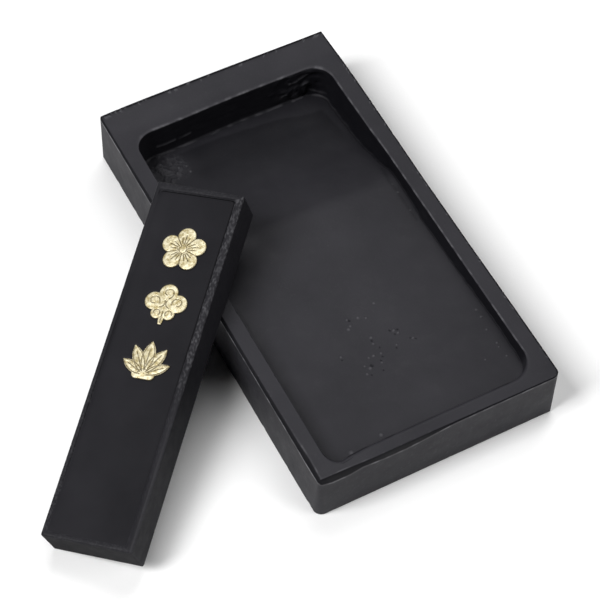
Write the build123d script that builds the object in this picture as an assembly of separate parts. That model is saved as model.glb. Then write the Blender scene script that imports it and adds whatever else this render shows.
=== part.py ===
from build123d import *
import os
from math import asin, atan2, cos, hypot, radians, sin

# Ink stone carved from one slate block, with a pressed ink stick leaning on its left rim.
# Millimetres. The origin is the centre of the stone's base, +Z is up, +Y runs towards the deep end of the
# well, and +X runs to the right, away from the stick.

# Slate block
stone_length = 130.0
stone_width = 70.4
stone_height = 18.4
base_inset = 0.4
near_left_radius = 2.4
near_right_radius = 3.0
far_left_radius = 1.5
far_right_radius = 0.8
base_edge_bevel = 0.4

# Hand-honed bevels round the top of the block, which widen towards the near left corner
near_bevel_at_left = 1.4
near_bevel_at_right = 0.45
left_bevel_at_near = 1.1
left_bevel_at_far = 0.5
far_bevel = 0.3
right_bevel = 0.3

# Well: rims left standing round its mouth, and walls that lean in
rim_left = 4.8
rim_right = 5.3
rim_near = 4.6
rim_far = 11.0
well_near_left_radius = 3.6
well_near_right_radius = 3.0
well_far_left_radius = 5.0
well_far_right_radius = 4.5
wall_lean_degrees = 4.5
mouth_bevel = 0.3
wall_foot_radius = 1.2

# Well floor, from the far wall: pool, lower slope, upper slope, and the flat grinding floor
pool_depth = 10.4
pool_length = 10.0
lower_slope_length = 14.0
lower_slope_rise = 1.6
upper_slope_length = 17.5
grinding_floor_depth = 4.5
grinding_floor_rise = 0.5
floor_bend_radius = 16.0

# Ink stick: a flat bar with a raised border round a sunk panel
stick_length = 99.6
stick_width = 24.8
stick_thickness = 10.4
stick_edge_radius = 0.6
border_side_width = 2.1
border_end_width = 1.5
panel_depth = 0.45
panel_corner_radius = 0.8
border_crest_radius = 0.2

# How the stick leans: its turn from square across the rim, and its length from the rim down to its foot
stick_turn_degrees = 45.7
stick_foot_to_rim = 81.9
stick_crossing_y = 7.5
rest_gap = 0.05

# Gilt marks in a column on the panel
mark_size = 12.6
mark_pitch = 15.9
first_mark_from_head = 17.6
mark_offset = 0.4
gilt_thickness = 0.4
gilt_seat_depth = 0.2
gilt_side_gap = 0.05
gilt_boss_height = 0.25

# Plum blossom, as shares of the mark's size
blossom_petals = 5
petal_reach_share = 0.3
petal_radius_share = 0.195
blossom_heart_share = 0.17
blossom_boss_share = 0.07

# Cloud: lobes as (x, y, radius) shares of the mark's size, mirrored left to right
cloud_lobe_shares = [(0.0, 0.25, 0.2), (0.26, 0.04, 0.2), (0.0, 0.02, 0.19), (0.13, -0.21, 0.13),
                     (0.0, -0.15, 0.12)]
cloud_boss_shares = [(0.0, 0.25, 0.07), (0.26, 0.04, 0.07)]
cloud_tail_shares = [(-0.09, -0.15), (0.09, -0.15), (0.035, -0.46), (-0.035, -0.46)]

# Lotus: petals as (angle in degrees, length share, width share), and a seat below them
lotus_petal_shares = [(0.0, 0.74, 0.3), (30.0, 0.7, 0.26), (-30.0, 0.7, 0.26), (62.0, 0.58, 0.22),
                      (-62.0, 0.58, 0.22)]
lotus_root_share = -0.32
lotus_seat_width_share = 0.5
lotus_seat_height_share = 0.2
lotus_boss_share = 0.06

# How far every cut runs past the faces that it opens
overrun = 2.0


def rounded_outline(left, right, near, far, radii):
    """A flat rectangle with a radius for each corner: near left, near right, far left and far right."""
    sheet = Pos((left + right) / 2, (near + far) / 2) * Rectangle(right - left, far - near)
    corners = [(left, near), (right, near), (left, far), (right, far)]
    for corner, radius in zip(corners, radii):
        sheet = fillet(sheet.vertices().sort_by_distance(corner)[0], radius)
    return sheet


def bevel_wedge(start, end, inward, width_at_start, width_at_end):
    """The wedge that leaves a bevel along a top edge, each end as deep as it is wide."""
    along = (end - start).normalized()
    sections = []
    for corner, width, step in ((start, width_at_start, -overrun), (end, width_at_end, overrun)):
        place = corner + along * step
        slant = inward * (width + overrun)
        drop = Vector(0, 0, -width - overrun)
        outside = place - inward * overrun + Vector(0, 0, overrun)
        sections.append(make_face(Polyline(outside, outside + slant + inward * overrun,
                                           outside + drop - Vector(0, 0, overrun), close=True)))
    return loft(sections, ruled=True)


def stone_block():
    """The slate block with its rounded corners, honed top bevels and eased base."""
    half_width = stone_width / 2
    half_length = stone_length / 2
    radii = (near_left_radius, near_right_radius, far_left_radius, far_right_radius)
    sections = []
    levels = [(0, base_inset + base_edge_bevel), (base_edge_bevel, base_inset), (stone_height, 0)]
    for height, inset in levels:
        outline = rounded_outline(inset - half_width, half_width - inset,
                                  inset - half_length, half_length - inset, radii)
        sections.append(Pos(0, 0, height) * outline)
    block = loft(sections, ruled=True)
    near_left = Vector(-half_width, -half_length, stone_height)
    near_right = Vector(half_width, -half_length, stone_height)
    far_left = Vector(-half_width, half_length, stone_height)
    far_right = Vector(half_width, half_length, stone_height)
    block -= bevel_wedge(near_left, near_right, Vector(0, 1, 0), near_bevel_at_left, near_bevel_at_right)
    block -= bevel_wedge(near_left, far_left, Vector(1, 0, 0), left_bevel_at_near, left_bevel_at_far)
    block -= bevel_wedge(far_left, far_right, Vector(0, -1, 0), far_bevel, far_bevel)
    block -= bevel_wedge(near_right, far_right, Vector(-1, 0, 0), right_bevel, right_bevel)
    return block


def floor_side_profile():
    """The space above the well's floor, seen from the side, with the four stretches of the floor."""
    far_y = stone_length / 2 - rim_far
    near_y = -stone_length / 2 + rim_near
    pool_end = far_y - pool_length
    slope_knee = pool_end - lower_slope_length
    slope_top = slope_knee - upper_slope_length
    pool_z = stone_height - pool_depth
    knee_z = pool_z + lower_slope_rise
    grinding_z = stone_height - grinding_floor_depth
    near_z = grinding_z + grinding_floor_rise
    floor_line = FilletPolyline((0, far_y + overrun, pool_z), (0, pool_end, pool_z), (0, slope_knee, knee_z),
                                (0, slope_top, grinding_z), (0, near_y - overrun, near_z),
                                radius=floor_bend_radius)
    top_z = stone_height + overrun
    roof_line = Polyline((0, near_y - overrun, near_z), (0, near_y - overrun, top_z),
                         (0, far_y + overrun, top_z), (0, far_y + overrun, pool_z))
    return make_face(floor_line.edges() + roof_line.edges())


def well_cutter():
    """The space of the well: leaning walls, rounded corners, a bent floor and a rounded wall foot."""
    mouth = rounded_outline(-stone_width / 2 + rim_left, stone_width / 2 - rim_right,
                            -stone_length / 2 + rim_near, stone_length / 2 - rim_far,
                            (well_near_left_radius, well_near_right_radius,
                             well_far_left_radius, well_far_right_radius))
    shaft = extrude(Pos(0, 0, stone_height) * mouth, -pool_depth - overrun, taper=wall_lean_degrees)
    space = extrude(floor_side_profile(), stone_width / 2, both=True)
    well = shaft & space
    floor_edges = well.faces().filter_by(faces_down).edges()
    foot_edges = [edge for edge in floor_edges if sum(edge.is_same(other) for other in floor_edges) == 1]
    well = fillet(foot_edges, wall_foot_radius)
    lip = extrude(Pos(0, 0, stone_height) * offset(mouth, mouth_bevel), -mouth_bevel, taper=45)
    return well, lip


def faces_down(face):
    """True for a face of the well's space that lies on its floor."""
    return face.normal_at().Z < -cos(radians(45))


def stone_slab():
    """The finished stone: the block with the well and its eased lip cut out."""
    well, lip = well_cutter()
    return stone_block() - well - lip


def blossom_outline():
    """Round petals about a heart that fills the space between them."""
    sheet = Circle(mark_size * blossom_heart_share)
    for place in PolarLocations(mark_size * petal_reach_share, blossom_petals, start_angle=90):
        sheet += place * Circle(mark_size * petal_radius_share)
    return sheet


def blossom_bosses():
    """The raised heart of the blossom."""
    return Circle(mark_size * blossom_boss_share)


def mirrored_discs(shares):
    """Discs given as (x, y, radius) shares of the mark's size, each with its mirror image."""
    sheet = None
    for x, y, radius in shares:
        for side in (-1, 1):
            disc = Pos(side * x * mark_size, y * mark_size) * Circle(radius * mark_size)
            sheet = disc if sheet is None else sheet + disc
    return sheet


def cloud_outline():
    """A cloud of round lobes over a short tail."""
    tail = make_face(Polyline([(x * mark_size, y * mark_size) for x, y in cloud_tail_shares], close=True))
    return mirrored_discs(cloud_lobe_shares) + tail


def cloud_bosses():
    """The raised eyes of the cloud's scrolls."""
    return mirrored_discs(cloud_boss_shares)


def petal(length, width):
    """A petal pointed at both ends, standing on the origin along +Y."""
    side = ThreePointArc((0, 0), (width / 2, length / 2), (0, length))
    other_side = ThreePointArc((0, length), (-width / 2, length / 2), (0, 0))
    return make_face([side, other_side])


def lotus_outline():
    """A lotus seen from the side: pointed petals that fan out of a low seat."""
    root = Pos(0, mark_size * lotus_root_share)
    sheet = root * SlotOverall(mark_size * lotus_seat_width_share, mark_size * lotus_seat_height_share)
    for angle, length, width in lotus_petal_shares:
        sheet += root * Rot(0, 0, angle) * petal(length * mark_size, width * mark_size)
    return sheet


def lotus_bosses():
    """The raised seed head at the foot of the lotus petals."""
    return Pos(0, mark_size * lotus_root_share) * Circle(mark_size * lotus_boss_share)


MARKS = {"gilt_plum_blossom": (blossom_outline, blossom_bosses),
         "gilt_cloud": (cloud_outline, cloud_bosses),
         "gilt_lotus": (lotus_outline, lotus_bosses)}


def mark_place(index, height):
    """Where a mark's centre stands in the stick's own frame, at a height above the stick's back."""
    return Pos(mark_offset, stick_length - first_mark_from_head - index * mark_pitch, height)


def gilt_seat_height():
    """Height of the floor of the gilding's pockets above the stick's back."""
    return stick_thickness - panel_depth - gilt_seat_depth


def gilt_mark(index, outline, bosses):
    """One mark of gilding in the stick's own frame, seated on the floor of its pocket."""
    sheet = extrude(outline(), gilt_thickness)
    raised = extrude(bosses(), gilt_thickness + gilt_boss_height)
    return mark_place(index, gilt_seat_height()) * (sheet + raised)


def ink_stick():
    """The stick in its own frame: back on the ground plane, foot at y 0, head towards +Y."""
    bar = Pos(0, stick_length / 2, stick_thickness / 2) * Box(stick_width, stick_length, stick_thickness)
    bar = fillet(bar.edges(), stick_edge_radius)
    panel = RectangleRounded(stick_width - 2 * border_side_width, stick_length - 2 * border_end_width,
                             panel_corner_radius)
    panel_floor = stick_thickness - panel_depth
    bar -= Pos(0, stick_length / 2, panel_floor) * extrude(panel, panel_depth + overrun)
    border = bar.faces().sort_by(Axis.Z)[-1]
    bar = fillet(border.inner_wires()[0].edges(), border_crest_radius)
    for index, (outline, _) in enumerate(MARKS.values()):
        pocket = extrude(offset(outline(), gilt_side_gap), gilt_seat_depth + overrun)
        bar -= mark_place(index, gilt_seat_height()) * pocket
    return bar


def stick_place():
    """The leaning place of the stick's own frame: back on the rim's edge, low corner on the table."""
    turn = radians(stick_turn_degrees)
    radius = stick_edge_radius
    low_corner = (stick_foot_to_rim - radius) * cos(turn) + (stick_width / 2 - radius) * sin(turn)
    lean = asin((stone_height - radius) / hypot(low_corner, radius)) + atan2(radius, low_corner)
    upper_crossing_y = stick_crossing_y + stick_width / 2 / cos(turn)
    far_share = (upper_crossing_y + stone_length / 2) / stone_length
    bevel = left_bevel_at_near + (left_bevel_at_far - left_bevel_at_near) * far_share
    rim_edge = Vector(-stone_width / 2 + bevel, stick_crossing_y, stone_height)
    up_slope = Vector(cos(lean), 0, sin(lean))
    off_slope = Vector(-sin(lean), 0, cos(lean))
    rest = Plane(origin=rim_edge + off_slope * rest_gap, x_dir=up_slope, z_dir=off_slope)
    return rest.location * Rot(0, 0, stick_turn_degrees - 90) * Pos(0, -stick_foot_to_rim, 0)


def main():
    """Builds every piece in its place and writes one STEP file for each."""
    os.makedirs("parts", exist_ok=True)
    pieces = {"stone_slab": stone_slab()}
    place = stick_place()
    pieces["ink_stick"] = place * ink_stick()
    for index, (name, (outline, bosses)) in enumerate(MARKS.items()):
        pieces[name] = place * gilt_mark(index, outline, bosses)
    for name, piece in pieces.items():
        export_step(piece, f"parts/{name}.step")


main()
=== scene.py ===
import math
import bmesh
import bpy
import numpy as np
from mathutils import Matrix, Vector, kdtree, noise
from mathutils.geometry import delaunay_2d_cdt


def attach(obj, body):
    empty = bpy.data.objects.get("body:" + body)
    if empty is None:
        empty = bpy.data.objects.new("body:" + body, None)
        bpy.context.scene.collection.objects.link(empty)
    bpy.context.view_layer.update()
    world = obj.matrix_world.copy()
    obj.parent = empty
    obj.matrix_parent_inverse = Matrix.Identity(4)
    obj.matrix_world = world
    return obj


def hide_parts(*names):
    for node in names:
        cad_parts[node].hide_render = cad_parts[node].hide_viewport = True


# An ink stone of dark slate, with a gilt ink stick leaning on its left rim.
# Sizes are millimetres unless a comment says otherwise, and each mesh is scaled to metres as it is made.

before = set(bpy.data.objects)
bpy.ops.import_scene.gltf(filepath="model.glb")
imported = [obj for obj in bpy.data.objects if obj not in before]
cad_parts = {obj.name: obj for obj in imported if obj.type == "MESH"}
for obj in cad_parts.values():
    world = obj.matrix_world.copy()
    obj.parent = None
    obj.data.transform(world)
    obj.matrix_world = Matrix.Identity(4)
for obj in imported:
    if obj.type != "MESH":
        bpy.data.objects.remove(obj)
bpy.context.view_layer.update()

MM = 0.001
TINY = 1e-6

# Viewpoint of the photograph, with angles in degrees and the clipping distance in metres
CAMERA_AZIMUTH = -30.275
CAMERA_ELEVATION = 56.041
CAMERA_ROLL = 2.995
CAMERA_TARGET = (-7.718, -3.844, 0.0)
CAMERA_DISTANCE = 564.23
CAMERA_LENS = 124.56
SENSOR_WIDTH = 36.0
CLIP_START = 0.01

# Table, and soft lights with their azimuth, elevation, width, height and share of the table's light,
# in metres and degrees
SOFTBOX_DISTANCE = 2.5
SOFTBOXES = [
    ("left_softbox", 180.0, 50.0, 0.9, 1.4, 0.57),
    ("back_softbox", 60.0, 60.0, 1.5, 1.5, 0.27),
    ("front_softbox", 315.0, 32.0, 1.5, 1.5, 0.16),
]
TABLE_BRIGHTNESS = 1.3
TABLE_REFLECTANCE = 0.9
TABLE_RADIUS = 4.0

# Slate block, with its corner radii at its foot and at its top, where they were cut by hand.
# Corner radii always go near right, far right, far left, near left
STONE_LENGTH = 130.0
STONE_WIDTH = 70.4
STONE_HEIGHT = 18.4
BASE_INSET = 0.25
BASE_BEVEL = 0.3
EDGE_WEAR = 0.02
FOOT_RADII = (0.5, 0.5, 0.4, 2.4)
TOP_RADII = (2.2, 0.8, 1.5, 0.8)

# Widths of the honed bevels, at places along their edges, and how deep the near one is cut
NEAR_BEVEL = [(-35.2, 0.8), (-29.0, 0.75), (-20.0, 0.42), (0.0, 0.38), (20.0, 0.28), (35.2, 0.25)]
NEAR_BEVEL_DROP = [(-35.2, 1.2), (-31.5, 2.6), (-26.5, 2.7), (-22.9, 1.6), (-16.8, 2.4), (-10.8, 2.5),
                   (-5.9, 1.9), (0.0, 0.9), (3.5, 0.42), (20.0, 0.28), (35.2, 0.25)]
LEFT_BEVEL = [(-65.0, 0.75), (-58.0, 1.05), (-52.0, 0.8), (-30.0, 0.64), (-12.0, 0.68), (27.0, 0.68),
              (45.0, 0.5), (65.0, 0.4)]
FAR_BEVEL = 0.28
RIGHT_BEVEL = 0.28

# How far the far and right sides fall short of square, at places along them
FAR_TRIM = [(-35.2, 0.42), (-27.0, 0.14), (-21.0, 0.04), (-9.0, 0.0), (35.2, 0.0)]
RIGHT_TRIM = [(-42.0, 0.0), (-34.0, 0.08), (-18.0, 0.2), (6.0, 0.27), (22.0, 0.14), (38.0, 0.0),
              (46.0, 0.0), (54.0, 0.11), (65.0, 0.4)]

# Well
RIM_LEFT = 4.8
RIM_RIGHT = 5.3
RIM_NEAR = 4.6
RIM_FAR = 11.0
WELL_RADII = (6.3, 6.1, 6.0, 3.4)
WALL_LEAN = math.tan(math.radians(4.5))
LIP_RADIUS = 0.15
NEAR_LIP_RADIUS = 1.3
LIP_LINE_WIDTH = 0.13
SHALLOW_FOOT_RADIUS = 0.3
DEEP_FOOT_RADIUS = 0.7
POOL_DEPTH = 10.4
POOL_LENGTH = 10.0
LOWER_SLOPE_LENGTH = 14.0
LOWER_SLOPE_RISE = 1.6
UPPER_SLOPE_LENGTH = 17.5
GRINDING_FLOOR_DEPTH = 4.5
GRINDING_FLOOR_RISE = 0.5
FLOOR_BEND_REACH = 1.8

# How far the hand-cut mouth stands inward of square, at places along each side
MOUTH_FAR_SHIFT = [(-26.0, 0.62), (-18.0, 0.5), (-12.0, 0.36), (-6.0, 0.1), (0.0, -0.1), (8.0, -0.2),
                   (26.0, -0.15)]
MOUTH_RIGHT_SHIFT = [(-60.0, -0.5), (-50.0, -0.28), (18.0, -0.28), (28.0, 0.02), (40.0, 0.18), (50.0, 0.2)]
MOUTH_LEFT_SHIFT = [(30.0, 0.0), (42.0, 0.0), (52.0, 0.15)]
MOUTH_NEAR_SHIFT = [(-30.0, -0.2), (-27.0, -0.8), (-24.0, -0.35), (-20.0, -0.1), (0.0, 0.0)]

# How far the foot of the right wall wanders inward, at places along it
RIGHT_FOOT_SHIFT = [(-57.0, 0.2), (-52.0, -0.05), (-43.0, -0.28), (-34.0, -0.2), (-29.0, 0.0),
                    (-23.0, 0.2), (-13.0, 0.27), (-3.0, 0.3), (3.0, 0.0), (6.0, -0.22), (11.0, -0.35),
                    (16.0, -0.4), (20.0, 0.22), (24.0, 0.0), (28.0, 0.18), (31.0, -0.05), (34.0, 0.15),
                    (38.0, -0.05), (44.0, -0.1)]

# Chisel ridges on the far wall: lines of x and depth below the rim
FAR_WALL_RIDGES = [
    [(-23.2, 7.0), (-20.5, 7.3), (-17.6, 7.1)],
    [(-16.2, 7.2), (-12.8, 6.9)],
    [(24.1, 0.4), (26.0, 1.5), (23.6, 2.8), (21.8, 3.1), (18.8, 3.7)],
    [(24.6, 5.2), (22.2, 5.6), (19.6, 5.5), (17.6, 7.2), (16.4, 7.6)],
    [(29.6, 7.9), (27.8, 9.2), (25.2, 8.7)],
    [(13.6, 5.0), (12.2, 5.3)],
]
RIDGE_HALF_WIDTH = 0.3
RIDGE_HEIGHT = 0.22

# Painted shadow lines along the near lip: centre and half length
NEAR_LIP_SHADOW_LINES = [(-22.2, 3.0), (-12.9, 1.3), (19.8, 2.6)]

# A thin line of dried ink that runs beside the right wall
RESIDUE_LINE = [(28.6, 17.5), (27.7, 12.0), (28.0, 7.8), (27.9, 2.6), (28.1, -3.0)]
RESIDUE_HALF_WIDTH = 0.35

# How dark the floor is painted, as a share of full cover: along the stone, darkening toward the far pool,
# and across it, as painted shade toward the side walls
STAIN_ALONG = [(-60.0, 0.1), (-50.0, 0.1), (-42.0, 0.06), (-30.0, 0.0), (10.0, 0.0), (14.0, 0.14),
               (18.0, 0.24), (22.0, 0.32), (26.0, 0.36), (30.0, 0.5), (34.0, 0.62), (38.0, 0.74),
               (42.0, 0.88), (54.0, 0.88)]
WALL_SHADE_ACROSS = [(-30.0, 0.18), (-22.0, 0.12), (-12.0, 0.04), (-4.0, 0.0), (4.0, 0.0), (12.0, 0.14),
                (22.0, 0.26), (28.0, 0.22)]

# How pale the grinding floor is worn, as a share of full wear
FLOOR_POLISH = 0.055

# Widths of the paler strip along the foot of the far wall and of the right wall, at places along them
FAR_STRIP_WIDTH = [(-28.0, 3.0), (-5.0, 2.8), (12.0, 4.2), (22.0, 6.5)]
RIGHT_STRIP_WIDTH = [(0.0, 1.0), (20.0, 2.0), (40.0, 2.6), (50.0, 4.0)]

# Caked ink at the pool's left
CRUST_CENTRE = (-22.4, 46.4)
CRUST_RADIUS = 6.6
CRUST_EDGE = (CRUST_RADIUS, 0.55 * CRUST_RADIUS)
CRUST_HEIGHT = 0.3

# Ink stick, in its own frame: x across, y from the foot to the head, z up from its back
STICK_LENGTH = 99.6
STICK_WIDTH = 24.8
STICK_THICKNESS = 10.4
STICK_EDGE_RADIUS = 0.6
STICK_BACK_RADII = (0.6, 0.7, 0.6, 0.6)
STICK_FRONT_RADII = (0.4, 0.5, 0.4, 0.6)
HEAD_SKEW = 0.9
LEFT_BORDER_WIDTH = 1.3
RIGHT_BORDER_WIDTH = 2.1
END_BORDER_WIDTH = 1.5
PANEL_DEPTH = 0.45
PANEL_RADII = (0.8, 0.8, 0.8, 0.8)
WORN_DEPTH = 0.1
STICK_TURN = math.radians(45.7)
STICK_FOOT_TO_RIM = 81.9
STICK_CROSSING_Y = 7.5
RIM_EDGE_INSET = 0.6834
REST_GAP = 0.05

# Gilt marks in a column on the stick's panel
MARK_SIZE = 12.6
MARK_PITCH = 15.9
FIRST_MARK_FROM_HEAD = 17.6
MARK_OFFSET = 0.4
MARK_HEIGHT = 0.3
MARK_EDGE = 0.32
MARK_DOME = 0.1
DOME_RISE = (0.2, 1.6)
DARK_EDGE = 0.3
GROOVE_DEPTH = 0.22
GROOVE_HALF_WIDTH = 0.13
SKIRT_DEPTHS = (0.05, 0.25)
MOAT_DEPTH = 0.16
MOAT_WIDTH = 0.32
MOAT_INSIDE = 0.6

# Colours as linear light, and the way that fine scratches are drawn out
SLATE_DARK = (0.0158, 0.0153, 0.0190, 1)
SLATE_LIGHT = (0.0210, 0.0203, 0.0247, 1)
SLATE_MOTTLE = (0.0270, 0.0264, 0.0312, 1)
SLATE_FLECK = (0.0430, 0.0420, 0.0470, 1)
# The stain colour below paints dried ink and also painted shade; the wear and chip colours paint real wear
# and chips and also painted highlights
SLATE_STAIN_AND_SHADE = (0.0022, 0.0021, 0.0038, 1)
SLATE_WEAR_AND_HIGHLIGHT = (0.0750, 0.0740, 0.0810, 1)
SLATE_CHIP_AND_HIGHLIGHT = (0.1900, 0.1880, 0.2000, 1)
INK_DARK = (0.0120, 0.0117, 0.0142, 1)
INK_LIGHT = (0.0152, 0.0148, 0.0177, 1)
INK_FLECK = (0.0220, 0.0215, 0.0240, 1)
# On the ink, the stain colour is painted shade, and the wear colour paints worn specks and painted
# highlights
INK_SHADE = (0.0014, 0.0014, 0.0020, 1)
INK_WEAR_AND_HIGHLIGHT = (0.0720, 0.0710, 0.0770, 1)
GILT_DEEP = (0.44, 0.36, 0.17, 1)
GILT_PALE = (0.80, 0.74, 0.53, 1)
GILT_GROOVE = (0.075, 0.050, 0.020, 1)
TABLE_DARK = (0.88, 0.88, 0.88, 1)
TABLE_LIGHT = (0.91, 0.91, 0.91, 1)
WHITE = (1, 1, 1, 1)
SCRATCH_STRETCH = (1.0, 0.12, 1.0)

# Noise that roughens a surface or a stain: its height, the size of its blobs and its seed
FLOOR_ROUGHNESS = [(0.06, 16.0, 8), (0.025, 5.0, 9), (0.012, 1.2, 10)]
WALL_ROUGHNESS = [(0.06, (5.0, 5.0, 1.1), 3), (0.03, 1.3, 2)]
STAIN_PATCHES = [(0.06, 9.0, 14), (0.04, 3.0, 15)]
TERRACE_HEIGHT = 0.35
TERRACE_INSET = 0.15

# Where a change in the stone's shape or looks starts and where it is complete, across the stone
ROUGH_END = (12.0, 20.0)
CLEAN_LEFT = (-12.0, -23.0)
# Painted light on the rim toward its left
LEFT_LIT = (-10.0, -30.0)
# Painted light on the floor by the left wall's foot
LIT_LEFT_FOOT = (-26.0, -29.5)
# Painted shade on the near rim toward its right
NEAR_RIM_RIGHT = (-14.0, -6.0)

# The same along the stone
FOOT_DEEPENS = (12.0, 44.0)
STRIP_START = (24.0, 40.0)
POLISHED_FLOOR = (24.0, 8.0)
# Less painted shade on the right wall toward its near end, and on the near wall
RIGHT_WALL_LESS_SHADE = (20.0, -10.0)
NEAR_WALL_LESS_SHADE = (-54.4, -57.0)
# Where the lip's painted highlight starts
LIP_HIGHLIGHT_START = (-58.0, -50.0)
# Painted light on the rim toward its near end
NEAR_LIT = (-40.0, -62.0)
FAR_RIM = (55.0, 58.0)
NEAR_RIM = (-59.0, -61.0)

# The same up from the table, up from the floor or down from the rim, and as shares of the well's depth
FOOT_EDGE = (1.2, 0.0)
# Painted contact shadow along the sides' foot
SIDE_FOOT_SHADOW = (0.6, 0.2)
LOW_EDGE = (1.0, 0.3)
UPPER_SIDE = (4.0, 10.0)
FOOT_LINE = (0.4, 0.05)
TOP_EDGE = (1.0, 0.0)
WALL_TOP = (0.1, 1.0)
LOW_LIP = (0.2, 0.35)
NEAR_FOOT_SHARES = (0.25, 0.95)

# The same across the stick and along it from its foot
LEFT_BORDER = (-7.0, -10.5)
# Painted shade across the panel's right half
PANEL_MIDDLE = (-5.0, 7.0)
WORN_FOOT = (26.0, 3.0)
FOOT_RIGHT = (45.0, 15.0)
# Painted shade along the stick's right side
DARK_SIDE_START = (18.0, 35.0)
HEAD_SIDE = (44.0, 54.0)
UPPER_STICK = (28.0, 62.0)
PITTED_BEAD = (35.0, 62.0)
WORN_LEFT_START = (55.0, 75.0)
WORN_LEFT_END = (98.0, 95.5)
HEAD_END = (STICK_LENGTH - 25.0, STICK_LENGTH - 1.0)

# Mesh steps along each long side, each short side and each corner of an outline
STONE_STEPS = (420, 240, 16)
STICK_STEPS = (300, 90, 8)
MARK_STEPS = 300
MARK_RINGS = 34

# Rings of the stone: shares of the way up its sides, over its bevels and down its walls, widths of the
# lines along its rim, angles round its lip and its foot, and steps out onto the floor, with the share of
# the wall's roughness that the first of those steps keeps
SIDE_SHARES = [*np.linspace(0, 0.93, 24), 0.955, 0.975, 0.988, 1.0]
SIDE_TOP_SHARE = 0.97
BEVEL_SHARES = (0.06, 0.5, 0.94)
NARROWEST_BEVEL_SHARE = 0.02
WIDEST_BEVEL_SHARE = 0.8
RIM_LINES = {"rim_line": 0.2, "rim_edge": 0.38}
RIM_SHARES = np.linspace(0, 1, 13)[1:-1]
WALL_SHARES = [0.03, 0.07, *np.linspace(0.11, 1, 24)]
LIP_ANGLES = (22, 45, 68, 90)
ROUND_ANGLES = (18, 36, 54, 72, 90)
FLOOR_STEPS = (0.25, 0.5, 0.8, 1.1, 1.5, 1.9)
FLOOR_PUSH = 0.85

# Rings of the stick's border, as shares of its width, and of its panel, as insets, each with its drop
BORDER_PROFILE = [(0.2, 0.0), (0.4, 0.0), (0.58, 0.02), (0.72, 0.07), (0.84, 0.18), (0.93, 0.34),
                  (1.0, 0.48)]
PANEL_PROFILE = [("groove", 0.12, 0.56), ("groove", 0.26, 0.56), ("panel", 0.45, 0.5),
                 ("panel", 0.7, PANEL_DEPTH)]

# Spacing of mesh points on the floor and the panel, and how far finer points reach round each detail
FLOOR_GRID = 0.5
KNOB_GRID = 0.13
KNOB_MARGIN = 0.3
CRUST_GRID = 0.24
RESIDUE_GRID = 0.28
RESIDUE_MARGIN = 3.4
PANEL_GRID = 0.8
MARK_GRID = 0.27
MARK_PATCH_RADIUS = 0.65 * MARK_SIZE
CLEARANCE_SHARE = 0.65


def ease(ramp, value):
    """0 before the start of a ramp and 1 beyond its end, with a smooth change between them."""
    share = np.clip((value - ramp[0]) / (ramp[1] - ramp[0]), 0, 1)
    return share * share * (3 - 2 * share)


def at_place(stations, place):
    """The value that goes with a place, between the stations on either side of it."""
    return np.interp(place, *zip(*stations))


def grain(points, size, seed):
    """Smooth noise from -1 to 1 at each point, with blobs about size across."""
    spots = points / np.asarray(size) + np.array([seed * 17.3, seed * 5.1, seed * 9.7])
    return np.array([noise.noise(spot) for spot in spots.tolist()])


def layered(points, layers):
    """The sum of layers of noise, each with a height, a size and a seed."""
    return sum(height * grain(points, size, seed) for height, size, seed in layers)


def moved(flat, way, distance):
    """Points in plan, moved along a way by a distance, alike for all or for each."""
    return flat + way * np.reshape(distance, (-1, 1))


def joined(flat, height):
    """Points in space from points in plan and a height, alike for all or for each."""
    return np.column_stack([flat, np.broadcast_to(height, len(flat))])


def in_plan(points):
    """The points with their heights left out, for grain that doesn't change with height."""
    return joined(points[:, :2], 0.0)


def ways(angles):
    """Unit directions in plan at angles in radians."""
    return np.stack([np.cos(angles), np.sin(angles)], -1)


def outline(left, right, near, far, radii, steps):
    """Points round a rounded rectangle, anticlockwise from its near right, and their inward directions."""
    long_steps, short_steps, corner_steps = steps
    corners = np.array([(right - radii[0], near + radii[0]), (right - radii[1], far - radii[1]),
                        (left + radii[2], far - radii[2]), (left + radii[3], near + radii[3])])
    points = []
    inwards = []
    for index in range(4):
        after = (index + 1) % 4
        outwards = ways(np.radians(90 * (index - 1) + 90 * np.arange(corner_steps) / corner_steps))
        points.append(corners[index] + radii[index] * outwards)
        inwards.append(-outwards)
        outward = ways(math.radians(90 * index))
        start = corners[index] + radii[index] * outward
        way = corners[after] + radii[after] * outward - start
        count = long_steps if index % 2 == 0 else short_steps
        points.append(start + np.outer(np.arange(count) / count, way))
        inwards.append(np.tile(-outward, (count, 1)))
    return np.concatenate(points), np.concatenate(inwards)


def facing_shares(inwards):
    """How much each point of an outline belongs to the near, right, far and left sides."""
    x, y = inwards[:, 0], inwards[:, 1]
    return tuple(np.maximum(part, 0) ** 2 for part in (y, -x, -y, x))


def ring_faces(rings, count):
    """Quads that join rings of count points each, one ring after another."""
    faces = []
    for low in range(0, (rings - 1) * count, count):
        for step in range(count):
            after = (step + 1) % count
            faces.append((low + step, low + after, low + count + after, low + count + step))
    return faces


def triangle_grid(low, high, spacing):
    """Points of a triangular grid that covers a box."""
    rows = np.arange(low[1] + spacing / 2, high[1], spacing * math.sqrt(3) / 2)
    columns = np.arange(low[0] + spacing / 2, high[0], spacing)
    return np.array([(x + spacing / 2 * (row % 2), y) for row, y in enumerate(rows) for x in columns])


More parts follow.
